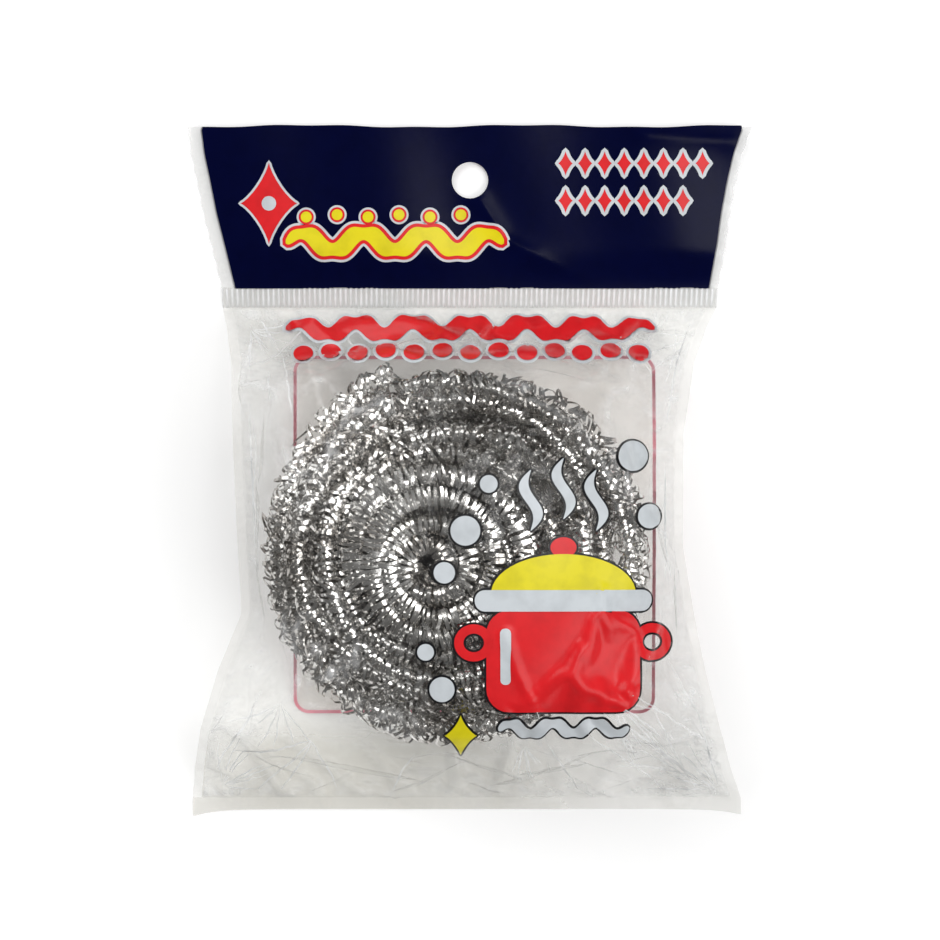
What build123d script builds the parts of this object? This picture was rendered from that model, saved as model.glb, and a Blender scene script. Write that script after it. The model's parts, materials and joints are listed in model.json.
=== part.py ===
from build123d import *

import math
import os

# A wound ribbon pot scourer in a flat clear bag that lies on its back.
# +Y runs from the scourer to the header, +Z is up from the surface the bag lies on.
# The origin is under the middle of the bag.

# Film: one layer is drawn thicker than the real film so that it is a solid.
FILM = 0.3

# How far the back film is pressed in where the bag lies on it.
PRESSED = 0.08

# Places along the bag.
HEADER_TOP_LEFT = 75.4
HEADER_TOP_RIGHT = 76.0
SEAL_TOP = 40.1
SEAL_BOTTOM = 35.7
POCKET_END = -72.0
BOTTOM_EDGE = -74.6
BAG_END = -76.0

# Header: half its top width, and its edges where it meets the ribbed seal.
HEADER_HALF_WIDTH = 62.1
HEADER_FOOT_LEFT = -54.4
HEADER_FOOT_RIGHT = 54.2
HEADER_SIDE_BULGE = 0.9
HEADER_LEFT_WELD = 3.0
HEADER_RIGHT_WELD = 2.0
HANG_HOLE_RADIUS = 4.0
HANG_HOLE_Y = 63.7

# Ribbed seal across the bag under the header.
RIB_COUNT = 96
RIB_DEPTH = 0.25
SEAL_THICKNESS = 0.5

# Outer edges of the pocket where it is drawn in by the scourer: place, left, right.
POCKET_EDGES = (
    (SEAL_BOTTOM, -54.4, 54.2),
    (31.0, -53.3, 51.8),
    (23.0, -52.0, 48.8),
    (8.0, -51.6, 46.4),
    (-16.0, -50.5, 46.2),
    (-31.0, -49.6, 48.6),
    (-43.0, -54.6, 51.0),
    (-56.0, -58.6, 54.4),
    (-65.0, -60.2, 57.0),
    (POCKET_END, -61.0, 59.6),
)
BAG_END_LEFT = -61.4
BAG_END_RIGHT = 60.8
SIDE_WELD = 2.0
SIDE_POWER = 5
END_POWER = 6
SECTION_COUNT = 20
SECTION_POINTS = 17

# Scourer: eight layers of wound ribbon, in pairs that wind in and out again.
SCOURER_X = -2.6
SCOURER_Y = -18.0
RIBBON_COIL = 4.4
LOOP_STEP = 5.0
LAYER_STEP = 5.0
HEART_RADIUS = 6.0
BAG_GAP = 0.6

# Quarter turns of each winding's lower and upper layer, and where its heart points.
WINDINGS = {
    "bottom_winding": (10, 20, 20),
    "lower_winding": (26, 28, 110),
    "upper_winding": (28, 26, 200),
    "top_winding": (20, 10, 290),
}

FIRST_LAYER_Z = FILM + BAG_GAP + RIBBON_COIL / 2
LAST_LAYER_Z = FIRST_LAYER_Z + (2 * len(WINDINGS) - 1) * LAYER_STEP
SCOURER_TOP = LAST_LAYER_Z + RIBBON_COIL / 2

# Half of the height that the filled pocket stands up to.
POCKET_RISE = (SCOURER_TOP + BAG_GAP - FILM) / 2

os.makedirs("parts", exist_ok=True)


def save(name, solid):
    solid.label = name
    export_step(solid, f"parts/{name}.step")


# Pocket film


def pocket_stations():
    """Places along the pocket, closer together near its ends, with its edges there."""
    stations = []
    for index in range(SECTION_COUNT + 1):
        part_way = (1 - math.cos(math.pi * index / SECTION_COUNT)) / 2
        y = SEAL_BOTTOM + (POCKET_END - SEAL_BOTTOM) * part_way
        for upper, lower in zip(POCKET_EDGES, POCKET_EDGES[1:]):
            if lower[0] <= y <= upper[0]:
                share = (upper[0] - y) / (upper[0] - lower[0])
                left = upper[1] + (lower[1] - upper[1]) * share
                right = upper[2] + (lower[2] - upper[2]) * share
        stations.append((y, left, right))
    return stations


def rise(y):
    """How high the side seam stands at this place along the pocket."""
    reach = SEAL_BOTTOM - SCOURER_Y
    if y < SCOURER_Y:
        reach = SCOURER_Y - POCKET_END
    part_way = abs(y - SCOURER_Y) / reach
    return POCKET_RISE * max(0, 1 - part_way**END_POWER) ** 1.5


def rise_slope(y):
    step = 0.01
    return (rise(y + step) - rise(y - step)) / (2 * step)


def film_section(y, left, right, is_front):
    """One cross section of a film panel between the side seams."""
    centre = (left + right) / 2
    half = (right - left) / 2
    inner = []
    outer = []
    for index in range(SECTION_POINTS):
        across = 2 * index / (SECTION_POINTS - 1) - 1
        x = centre + half * across
        fall = abs(across) ** SIDE_POWER
        side_slope = SIDE_POWER * rise(y) * abs(across) ** (SIDE_POWER - 1) / half
        if is_front:
            z = FILM + rise(y) * (2 - fall)
            end_slope = rise_slope(y) * (2 - fall)
        else:
            z = FILM + rise(y) * fall
            end_slope = rise_slope(y) * fall
        thickness = FILM * math.sqrt(1 + side_slope**2 + end_slope**2)
        inner.append(Vector(x, y, z))
        outer.append(Vector(x, y, z + thickness if is_front else z - thickness))
    edges = [
        Edge.make_spline(inner),
        Edge.make_line(inner[-1], outer[-1]),
        Edge.make_spline(outer),
        Edge.make_line(inner[0], outer[0]),
    ]
    return Wire(edges)


def film_panel(is_front):
    sections = []
    for y, left, right in pocket_stations():
        section = film_section(y, left + SIDE_WELD, right - SIDE_WELD, is_front)
        sections.append(section)
    return Solid.make_loft(sections, ruled=True)


def side_weld(side):
    """The welded strip outside the film panels, side is -1 for left and 1 for right."""
    sections = []
    for y, left, right in pocket_stations():
        edge = left if side < 0 else right
        half_height = FILM * math.sqrt(1 + rise_slope(y) ** 2)
        middle = FILM + rise(y)
        corners = [
            (edge, y, middle - half_height),
            (edge, y, middle + half_height),
            (edge - side * SIDE_WELD, y, middle + half_height),
            (edge - side * SIDE_WELD, y, middle - half_height),
        ]
        sections.append(Wire.make_polygon(corners, close=True))
    return Solid.make_loft(sections, ruled=True)


def bottom_weld():
    """The flat weld that closes the foot of the bag, with an ear at each corner."""
    _, left, right = POCKET_EDGES[-1]
    foot = Edge.make_three_point_arc(
        (BAG_END_LEFT, BAG_END),
        (0, BOTTOM_EDGE),
        (BAG_END_RIGHT, BAG_END),
    )
    edges = [
        Edge.make_line((left, POCKET_END), (right, POCKET_END)),
        Edge.make_line((right, POCKET_END), (BAG_END_RIGHT, BAG_END)),
        foot,
        Edge.make_line((BAG_END_LEFT, BAG_END), (left, POCKET_END)),
    ]
    return extrude(Face(Wire(edges)), amount=2 * FILM, dir=(0, 0, 1))


def back_panel():
    """The back film, pressed flat where the weight in the bag makes it lie."""
    below = Pos(0, 0, -5) * Box(300, 300, 10)
    return Pos(0, 0, -PRESSED) * film_panel(is_front=False) - below


save("front_panel", film_panel(is_front=True))
save("back_panel", back_panel())
save("left_side_weld", side_weld(-1))
save("right_side_weld", side_weld(1))
save("bottom_weld", bottom_weld())


# Ribbed seal


def crimp_seal():
    """A zigzag band across the bag, its ribs running along the bag."""
    rib = (HEADER_FOOT_RIGHT - HEADER_FOOT_LEFT) / RIB_COUNT
    under = []
    for index in range(2 * RIB_COUNT + 1):
        x = HEADER_FOOT_LEFT + index * rib / 2
        under.append((x, SEAL_BOTTOM, RIB_DEPTH * (index % 2)))
    over = [(x, y, z + SEAL_THICKNESS) for x, y, z in reversed(under)]
    profile = Wire.make_polygon(under + over, close=True)
    return extrude(Face(profile), amount=SEAL_TOP - SEAL_BOTTOM, dir=(0, 1, 0))


save("crimp_seal", crimp_seal())


# Header


def header_side(side, inset):
    """A side line of the header, moved in by inset, from the seal to the top."""
    foot = HEADER_FOOT_RIGHT if side > 0 else HEADER_FOOT_LEFT
    top = HEADER_TOP_RIGHT if side > 0 else HEADER_TOP_LEFT
    start = (foot - side * inset, SEAL_TOP)
    end = (side * (HEADER_HALF_WIDTH - inset), top)
    middle = (
        (start[0] + end[0]) / 2 - side * HEADER_SIDE_BULGE,
        (start[1] + end[1]) / 2,
    )
    return Edge.make_three_point_arc(start, middle, end)


def header_sheet(left_line, right_line, bottom, thickness):
    """A flat piece of the header between two side lines."""
    edges = [
        left_line,
        Edge.make_line(left_line @ 1, right_line @ 1),
        right_line,
        Edge.make_line(right_line @ 0, left_line @ 0),
    ]
    sheet = extrude(Face(Wire(edges)), amount=thickness, dir=(0, 0, 1))
    return Pos(0, 0, bottom) * sheet


left_inner = header_side(-1, HEADER_LEFT_WELD)
right_inner = header_side(1, HEADER_RIGHT_WELD)
hang_hole = Pos(0, HANG_HOLE_Y, 0) * Cylinder(HANG_HOLE_RADIUS, 10)

header_back_ply = header_sheet(left_inner, right_inner, 0, FILM) - hang_hole
header_front_ply = header_sheet(left_inner, right_inner, FILM, FILM) - hang_hole
header_left_weld = header_sheet(header_side(-1, 0), left_inner, 0, 2 * FILM)
header_right_weld = header_sheet(right_inner, header_side(1, 0), 0, 2 * FILM)

save("header_back_ply", header_back_ply)
save("header_front_ply", header_front_ply)
save("header_left_weld", header_left_weld)
save("header_right_weld", header_right_weld)


# Scourer


def biarc(start, start_direction, end, end_direction):
    """Two tangent arcs that join two points with the given directions."""
    chord = end - start
    both = start_direction + end_direction
    spread = 4 - both.dot(both)
    along = chord.dot(both)
    reach = (math.sqrt(along**2 + spread * chord.dot(chord)) - along) / spread
    first_handle = start + start_direction * reach
    second_handle = end - end_direction * reach
    middle = (first_handle + second_handle) / 2
    middle_direction = (second_handle - first_handle).normalized()
    return [
        Edge.make_tangent_arc(start, start_direction, middle),
        Edge.make_tangent_arc(middle, middle_direction, end),
    ]


def winding_stations(lower_quarters, upper_quarters, z_low, heart_angle):
    """Points and directions a quarter turn apart, in on one layer and out on the next."""
    quarter_step = LOOP_STEP / 4
    spread_rate = quarter_step / (math.pi / 2)
    climb_rate = 1.5 * LAYER_STEP / math.pi
    stations = []
    for quarter in range(-lower_quarters, upper_quarters + 1):
        angle = math.radians(heart_angle) + quarter * math.pi / 2
        radius = HEART_RADIUS + quarter_step * abs(quarter)
        side = (quarter > 0) - (quarter < 0)
        outward = Vector(math.cos(angle), math.sin(angle), 0)
        forward = Vector(-math.sin(angle), math.cos(angle), 0)
        z = z_low + LAYER_STEP * (side + 1) / 2
        point = outward * radius + Vector(SCOURER_X, SCOURER_Y, z)
        direction = forward * radius + outward * (spread_rate * side)
        if side == 0:
            direction += Vector(0, 0, climb_rate)
        stations.append((point, direction.normalized()))
    return stations


def least_gap(edges):
    """The least space between the turns of a winding, measured on points of its path."""
    points = []
    lengths = []
    walked = 0
    for edge in edges:
        samples = 10
        for index in range(samples):
            points.append(edge @ (index / samples))
            lengths.append(walked + edge.length * index / samples)
        walked += edge.length
    coordinates = [tuple(point) for point in points]
    nearest = math.inf
    for first in range(len(points)):
        for second in range(first + 1, len(points)):
            if lengths[second] - lengths[first] > 3 * RIBBON_COIL:
                distance = math.dist(coordinates[first], coordinates[second])
                nearest = min(nearest, distance)
    return nearest - RIBBON_COIL


def winding(name, lower_quarters, upper_quarters, heart_angle, z_low):
    stations = winding_stations(lower_quarters, upper_quarters, z_low, heart_angle)
    first_point, first_direction = stations[0]
    last_point, last_direction = stations[-1]
    edges = [Edge.make_line(first_point - first_direction * RIBBON_COIL, first_point)]
    for here, there in zip(stations, stations[1:]):
        edges += biarc(*here, *there)
    edges.append(Edge.make_line(last_point, last_point + last_direction * RIBBON_COIL))
    path = Wire(edges)
    start = Plane(origin=path @ 0, z_dir=path % 0)
    tube = sweep(start * Circle(RIBBON_COIL / 2), path=path)
    volume = math.pi * (RIBBON_COIL / 2) ** 2 * path.length
    print(
        f"{name}: {path.length:.0f} mm, least gap {least_gap(edges):.2f} mm,",
        f"volume {tube.volume:.0f} of {volume:.0f} mm3",
    )
    return tube


for index, (name, counts) in enumerate(WINDINGS.items()):
    z_low = FIRST_LAYER_Z + 2 * index * LAYER_STEP
    save(name, winding(name, *counts, z_low))
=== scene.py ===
import json
import math

import bpy
import numpy as np
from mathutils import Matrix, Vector
from mathutils.bvhtree import BVHTree
from mathutils.geometry import delaunay_2d_cdt


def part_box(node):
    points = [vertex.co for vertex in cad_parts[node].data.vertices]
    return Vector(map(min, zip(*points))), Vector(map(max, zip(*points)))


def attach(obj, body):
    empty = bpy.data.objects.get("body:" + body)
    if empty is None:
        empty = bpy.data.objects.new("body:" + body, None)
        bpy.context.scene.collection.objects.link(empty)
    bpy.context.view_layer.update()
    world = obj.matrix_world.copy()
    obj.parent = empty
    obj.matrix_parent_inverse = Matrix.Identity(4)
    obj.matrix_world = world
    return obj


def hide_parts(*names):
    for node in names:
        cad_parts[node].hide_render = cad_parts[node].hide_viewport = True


# A wound steel ribbon pot scourer in a clear film bag with a printed header.
# The bag lies on its back, +Y runs towards the header and +Z up at the camera.

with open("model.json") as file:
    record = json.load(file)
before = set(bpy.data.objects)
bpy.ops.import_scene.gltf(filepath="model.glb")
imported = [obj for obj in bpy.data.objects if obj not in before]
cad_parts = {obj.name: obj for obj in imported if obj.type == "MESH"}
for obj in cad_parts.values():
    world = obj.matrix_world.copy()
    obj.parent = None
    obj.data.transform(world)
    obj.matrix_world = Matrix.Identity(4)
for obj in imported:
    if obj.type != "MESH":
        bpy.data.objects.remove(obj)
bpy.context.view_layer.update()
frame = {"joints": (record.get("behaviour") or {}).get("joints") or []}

MM = 0.001
JOINTS = {joint["name"]: joint for joint in frame["joints"]}
HEART = Vector(JOINTS["scourer_turn"]["pos_m"])
SCOURER_SEED = 11
FILM_SEED = 5
FOLD_SEED = 23

# Sizes of the scourer

BALL_HALF_WIDTH = 43.2 * MM
BALL_HALF_LENGTH = 42.3 * MM
COIL_RADIUS = 2.35 * MM
CURL_PITCH = 1.15 * MM
RIBBON_WIDTH = 0.56 * MM
RIBBON_THICKNESS = 0.09 * MM
CURL_STEPS = 12
LAYER_STEP = 5.0 * MM
LAYER_LIFT = 2.3 * MM
LOWEST_CURL = 0.75 * MM
PRESSED_HALF_HEIGHT = 19.3 * MM
RIM_HALF_HEIGHT = 7.0 * MM
HEART_RADIUS = 2.4 * MM

# How far the rosette's heart lies from the middle of the scourer.
ROSETTE_SHIFT = Vector((-6.3, -2.8, 0)) * MM

# Quarter turns of each winding's lower and upper layer, where its heart points, and
# how much smaller its lowest and highest loops are.
WINDINGS = {
    "bottom_winding": (15, 26, 20, 0.46, 0.78),
    "lower_winding": (31, 33, 110, 0.94, 1.0),
    "upper_winding": (33, 31, 200, 1.0, 0.94),
    "top_winding": (26, 15, 290, 0.78, 0.46),
}

# Quarter turns between two points of a winding, where it starts to run wild, as a share
# of the way out, how soon it is wildest, its sway when tight and how much more when wild,
# and the points between two bends of its sway.
TURN_STEP = 0.02
WILD_START = 0.35
WILD_SPAN = 0.45
SWAY = (0.3, 0.9)
SWAY_POINTS = 40

# How uneven a curl's radius, lean and tilt are when tight and how much more when wild,
# how far a wild curl shifts, and the points between two bends of all these.
UNEVEN = ((0.05, 0.16), (0.14, 0.6), (0.1, 0.45))
CURL_SHIFT = 0.6
CURL_POINTS = 9

# Sizes of the film pocket, in millimetres

SEAL_TOP = 40.1
SEAL_BOTTOM = 35.7
POCKET_END = -72.0
BAG_END = -74.6
SIDE_WELD = 2.0
SIDE_DROP = 0.4
FOOT_DROP = 0.1
FOOT_CORNER = 1.2
FILM = 0.3
POCKET_RISE = 20.3
POCKET_HALF_WIDTH = 48
SIDE_POWER = 5
END_POWER = 6
SEAM_POWER = 1.5
PROFILE_POINTS = 1500
TABLE_GAP = 0.15
BALL_CENTRE = np.array(HEART) / MM
BALL_RADIUS = 43.6
BALL_HALF_HEIGHT = 20.0
DOME_POWER = 3.0

# Place along the bag, then its left and right edge there.
POCKET_EDGES = np.array([
    (-72, -61, 59.6),
    (-65, -60.2, 57),
    (-56, -58.6, 54.4),
    (-43, -54.6, 51),
    (-31, -49.6, 48.6),
    (-16, -50.5, 46.2),
    (8, -51.6, 46.4),
    (23, -52, 48.8),
    (31, -53.3, 51.8),
    (35.7, -54.4, 54.2),
])

# How much longer the film is than the smooth pocket, what the sides, the foot across and
# along and the head add, and where foot and head end as shares of the way down.
FILM_SLACK = 1.008
SIDE_SLACK = 0.03
FOOT_SLACK = (0.045, 0.02)
HEAD_SLACK = 0.03
FOOT_START = 0.72
HEAD_END = 0.2

# Rounds of settling the film: columns, rows, steps, noise in millimetres and stiffness
# against bending. The front is then refined once more to the finest grid.
SETTLING = (
    (29, 33, 400, 0.8, 0.05),
    (57, 65, 300, 0.15, 0.08),
    (113, 129, 200, 0.02, 0.08),
)
FINEST_GRID = (225, 257)

# Share of its speed that the film keeps, its fastest step in millimetres, and how much of
# a fault in length or depth each step takes away.
FILM_DAMPING = 0.9
FASTEST = 0.15
LINK_STIFFNESS = 0.9
DOME_PUSH = 0.9

# How firmly each step brings a seam back to its place across, along and up, and how
# far the film falls in each step.
SEAM_HOLD = np.array([0.3, 0.3, 0.1])
FILM_WEIGHT = 0.001

# Bends, in radians a millimetre, at which film starts to whiten and is whitest. The white is
# partly whitened film and partly painted highlight.
CREASE_START = 0.25
CREASE_FULL = 0.9

# Painted shade near the foot, as a darker milky haze: how much, where it starts and how
# soon it is full, and where its middle lies and how far it reaches across the bag.
MOST_FOOT_SHADE = 0.42
FOOT_SHADE_TOP = -54
FOOT_SHADE_FADE = 8
FOOT_SHADE_MIDDLE = -26
FOOT_SHADE_REACH = 45

# Long folds of the front film: where each starts and ends, how high and how wide it is.
FOLDS = np.array([
    (-41.5, 26, -45.5, 33.5, 0.9, 0.8),
    (-41.5, 26, -36, 30.5, 0.8, 0.8),
    (-41.5, 26, -49.5, 22.5, 0.8, 0.8),
    (-41.5, 26, -38, 12, 1, 0.8),
    (-44.4, 22, -42.8, 15.5, 0.8, 0.7),
    (-33.5, 33.5, -22, 24.5, 0.3, 0.8),
    (-34.4, -58.8, -46.8, -70.2, 1.3, 0.9),
    (-34.4, -58.8, -41.2, -70.6, 1, 0.8),
    (-34.4, -58.8, -29.4, -70.3, 1.1, 0.8),
    (-34.4, -58.8, -51.5, -61.5, 1.1, 0.9),
    (-44.5, -47, -55.5, -66, 1, 0.9),
    (-12, -61.5, -17, -70.5, 0.9, 0.8),
    (7.6, -35, 16.4, -59.3, 0.6, 0.5),
    (16.4, -59.3, 25, -70.5, 1.1, 0.8),
    (29, -52, 56, -71, 1.4, 0.9),
    (33, -48, 54, -60, 1.1, 0.8),
    (25, -56, 43, -70.8, 1.2, 0.8),
    (39, -52, 51, -70.8, 1, 0.8),
    (43, -40, 52.5, -58, 1, 0.8),
    (31, -64.5, 49, -66, 0.9, 0.8),
    (50, 33, 41.7, 8.9, 1.2, 0.8),
    (45, 31.5, 43, 19, 0.9, 0.7),
    (31, 33.5, 40, 20, 0.4, 0.8),
    (44.5, 2, 42.5, -24, 0.9, 0.7),
    (-49.2, 15, -47.8, -12, 0.9, 0.6),
    (-47, 10, -46, -20, 0.8, 0.6),
])

# Fans of finer folds: the middle, the first and last direction in degrees, how many
# folds and how long they get. Below, how unevenly they are turned, where they start, and
# the least and most of their lengths, heights and widths.
FOLD_FANS = [
    (55, -70, 92, 178, 10, 24),
    (31, -50, -80, -15, 8, 22),
    (-55, -70, 2, 80, 8, 17),
    (-40, -50, 190, 300, 6, 15),
    (49, 30, 195, 290, 8, 15),
    (-48, 31, -100, 10, 7, 11),
    (46, 0, 245, 290, 6, 26),
    (-49, 6, 250, 285, 6, 26),
    (12, -60, -120, -40, 6, 11),
]
FAN_TURN = 5
FAN_START = 0.05
FAN_LENGTHS = (0.45, 1)
FAN_HEIGHTS = (0.3, 0.7)
FAN_WIDTHS = (0.4, 0.8)

# How far inside the pocket's seams the white line of a fold stays.
STRIP_MARGIN = 2.0

# How high a fold is as a share of its height and how far it spreads for its width, and
# the same for the white line on its crest.
FOLD_SHARE = 0.85
FOLD_REACH = 3
STRIP_SHARE = 0.48
STRIP_END = 0.12

# Sizes of the header, in millimetres

HANG_HOLE = (0.0, 63.7)
HANG_HOLE_SIZE = 8.0
HEADER_TOP = 75.6
LEFT_MARGIN = 3.0
RIGHT_MARGIN = 2.0
OVERLAP = 0.2
BACK_SHOWS = 0.3
LAYER_GAP = 0.3
RIB_COUNT = 96
RIB_FOOT = 0.32
RIB_HEIGHT = 0.45
RIB_END = 0.6

# Height of the flat header film, and the two creases that lift it
HEADER_REST = 0.45
HEADER_CREASE = [(2.1, 59.5), (7.6, 50.7), (28.5, 39.7)]
CORNER_CREASE = [(38, 73.5), (58, 72)]

# Place along the header, then its left and right edge there.
HEADER_EDGES = np.array([
    (35.7, -54.4, 54.2),
    (40.1, -54.6, 54.5),
    (49.6, -56.9, 56.2),
    (56.2, -58.6, 57.1),
    (62.8, -59.9, 58.3),
    (69.4, -61.3, 59.8),
    (75.6, -62.1, 62),
])

# Prints, in millimetres

# How far each print lies off its film
LIFTS = {
    "row_white": 0.14, "row_red": 0.32,
    "picture_lines": 0.1, "picture_red": 0.18, "picture_yellow": 0.25, "picture_white": 0.32,
    "fold_lines": 0.06, "frame_line": 0.06, "frame_tint": 0.03,
    "header_white": 0.06, "header_red": 0.12, "header_yellow": 0.18, "header_bubble": 0.18,
}
PRINT_SPACING = 0.7
FRAME_MIDDLE = (0.9, -14.2)
FRAME_SIZE = (79.4, 78.6)
FRAME_CORNER = 3.4
FRAME_LINE = 0.7
STAR_MIDDLE = (-44.2, 58.6)
STAR_SIZE = (12.5, 18)
POT_X = 20

# Waves: left and right end, height on the bag, thickness, swing and number of swings.
POCKET_WAVE = (-40.5, 40.5, 30.9, 5.2, 1.1, 6.5)
HEADER_WAVE = (-40.5, 7.5, 50.2, 5.4, 1.7, 3.5)

# Rows of ovals: the first one's middle, the step, their size and how many.
POCKET_DOTS = (-36.5, 25.3, 6.1, 4.4, 3.4, 13)
HEADER_DOTS = (-36, 55.6, 6.8, 2.4, 2.4, 6)

# Small diamonds: height and number of each row, where it starts, step and size.
GEM_ROWS = ((67.4, 8), (59.2, 7))
GEM_START = 21
GEM_STEP = 4.3
GEM_SIZE = (3.2, 5.4)

# Colours and looks

STEEL_DULL = (0.48, 0.455, 0.43)
STEEL_BRIGHT = (0.8, 0.79, 0.775)

# Look of each film: its haze, the haze of its milky patches, their colour, how strong its
# facets are and how white its creases. That white is partly whitened film and partly painted
# highlight; on the ribbed seal it is painted highlight on the rib crests.
FILM_LOOKS = {
    "clear_film": (0.0, 0.02, (0.85, 0.86, 0.86), 0.7, 0.9),
    "back_film": (0.09, 0.22, (0.68, 0.655, 0.59), 0.3, 0.5),
    "film_weld": (0.2, 0.36, (0.72, 0.7, 0.64), 0.4, 0.0),
    "header_margin": (0.35, 0.6, (0.72, 0.72, 0.72), 0.8, 0.0),
    "ribbed_seal": (0.5, 0.7, (0.6, 0.6, 0.58), 0.2, 1.8),
    "fold_white_and_highlight": (0.45, 1.0, (0.93, 0.94, 0.95), 0.2, 0.0),
    "frame_tint": (0.07, 0.11, (1.0, 0.55, 0.45), 0.3, 0.0),
}

# Look of each ink: its colour, roughness and shine. The darkest patches keep this share.
INK_LOOKS = {
    "navy_film": ((0.001, 0.002, 0.025), 0.2, 0.05),
    "white_ink": ((0.62, 0.66, 0.69), 0.3, 0.25),
    "yellow_ink": ((0.8, 0.7, 0.01), 0.3, 0.25),
    "red_ink": ((0.75, 0.015, 0.02), 0.3, 0.25),
    "black_ink": ((0.008, 0.008, 0.01), 0.3, 0.25),
    "faded_red_ink": ((1.0, 0.38, 0.46), 0.4, 0.25),
}
INK_DARKEST = 0.86

# Floor, light and camera, in metres

PIXEL = 0.22 * MM
PHOTO_WIDTH = 940 * PIXEL
CAMERA_HEIGHT = 1.5
FLOOR_HALF_SIDE = 20.0
FLOOR_DEPTH = 0.3 * MM
WORLD_STRENGTH = 0.12

# Glow of the floor near the bag, and how far away it starts to grow and is full.
NEAR_GLOW = 0.25
GLOW_GROWS = 0.5
GLOW_FULL = 2.0

# Place, side and power of each lamp.
LAMPS = {
    "key_lamp": ((-0.8, 0.9, 0.9), 1.2, 16.0),
    "fill_lamp": ((0.9, -0.4, 0.9), 1.0, 10.0),
    "top_lamp": ((0.34, 0.12, 1.35), 0.4, 4.0),
}


# Meshes


def add_object(name, data):
    made = bpy.data.objects.new(name, data)
    bpy.context.scene.collection.objects.link(made)
    return made


def mesh_object(name, vertices, faces, material):
    """A mesh piece from places and from faces that all have as many corners."""
    mesh = bpy.data.meshes.new(name)
    vertices = np.asarray(vertices, dtype=np.float32)
    faces = np.asarray(faces, dtype=np.int32)
    sides = faces.shape[1]
    mesh.vertices.add(len(vertices))
    mesh.vertices.foreach_set("co", vertices.ravel())
    mesh.loops.add(faces.size)
    mesh.loops.foreach_set("vertex_index", faces.ravel())
    mesh.polygons.add(len(faces))
    mesh.polygons.foreach_set("loop_start", np.arange(len(faces), dtype=np.int32) * sides)
    mesh.update(calc_edges=True)
    mesh.validate()
    mesh.polygons.foreach_set("use_smooth", np.full(len(mesh.polygons), True))
    mesh.materials.append(material)
    return add_object(name, mesh)


def grid_object(name, grid, material):
    """A sheet of quads from a grid of places in millimetres, row by row."""
    index = np.arange(grid[..., 0].size).reshape(grid.shape[:2])
    corners = (index[:-1, :-1], index[1:, :-1], index[1:, 1:], index[:-1, 1:])
    faces = np.stack([corner.ravel() for corner in corners], 1)
    return mesh_object(name, grid.reshape(-1, 3) * MM, faces, material)


def belongs(piece, body, slot, *nodes):
    """The piece moves with the body and stands for the CAD nodes, which it hides. The slot is not
    used.
    """
    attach(piece, body)
    if nodes:
        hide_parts(*nodes)


# Materials


def new_material(name):
    """An empty node material, a function that adds nodes to it and one that adds a noise."""
    material = bpy.data.materials.new(name)
    material.use_nodes = True
    tree = material.node_tree
    tree.nodes.clear()

    def feed(entry, source):
        if isinstance(source, bpy.types.NodeSocket):
            tree.links.new(source, entry)
        else:
            entry.default_value = source

    def node(kind, *sources, out=0, **values):
        """Adds a node, feeds its inputs in order and by name, and gives back one output."""
        made = tree.nodes.new("ShaderNode" + kind)
        for key, value in values.items():
            if hasattr(made, key):
                setattr(made, key, value)
            else:
                feed(made.inputs[key.replace("_", " ")], value)
        for entry, source in zip(made.inputs, sources):
            feed(entry, source)
        return made.outputs[out] if made.outputs else None

    def noise(scale, detail, **values):
        """Adds a cloudy pattern that sticks to the piece."""
        place = node("TexCoord", out="Object")
        return node("TexNoise", place, Scale=scale, Detail=detail, **values)

    return material, node, noise


def tone_ramp(node, source, *tones):
    """Turns a number into a colour, from the places and colours of two tones."""
    ramp = node("ValToRGB", source)
    for element, (place, colour) in zip(ramp.node.color_ramp.elements, tones):
        element.position = place
        element.color = (*colour, 1)
    return ramp


def steel_material():
    """Bright rolled stainless ribbon with fine streaks and a little tarnish."""
    material, node, noise = new_material("steel_ribbon")
    tarnish = tone_ramp(node, noise(90.0, 3.0), (0.35, STEEL_DULL), (0.6, STEEL_BRIGHT))
    streaks = noise(2600.0, 2.0)
    rough = node("MapRange", streaks, To_Min=0.12, To_Max=0.34)
    bump = node("Bump", Height=streaks, Strength=0.25, Distance=0.00005)
    steel = node("BsdfPrincipled", Base_Color=tarnish, Metallic=1.0, Roughness=rough, Normal=bump)
    node("OutputMaterial", steel)
    return material


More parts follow.
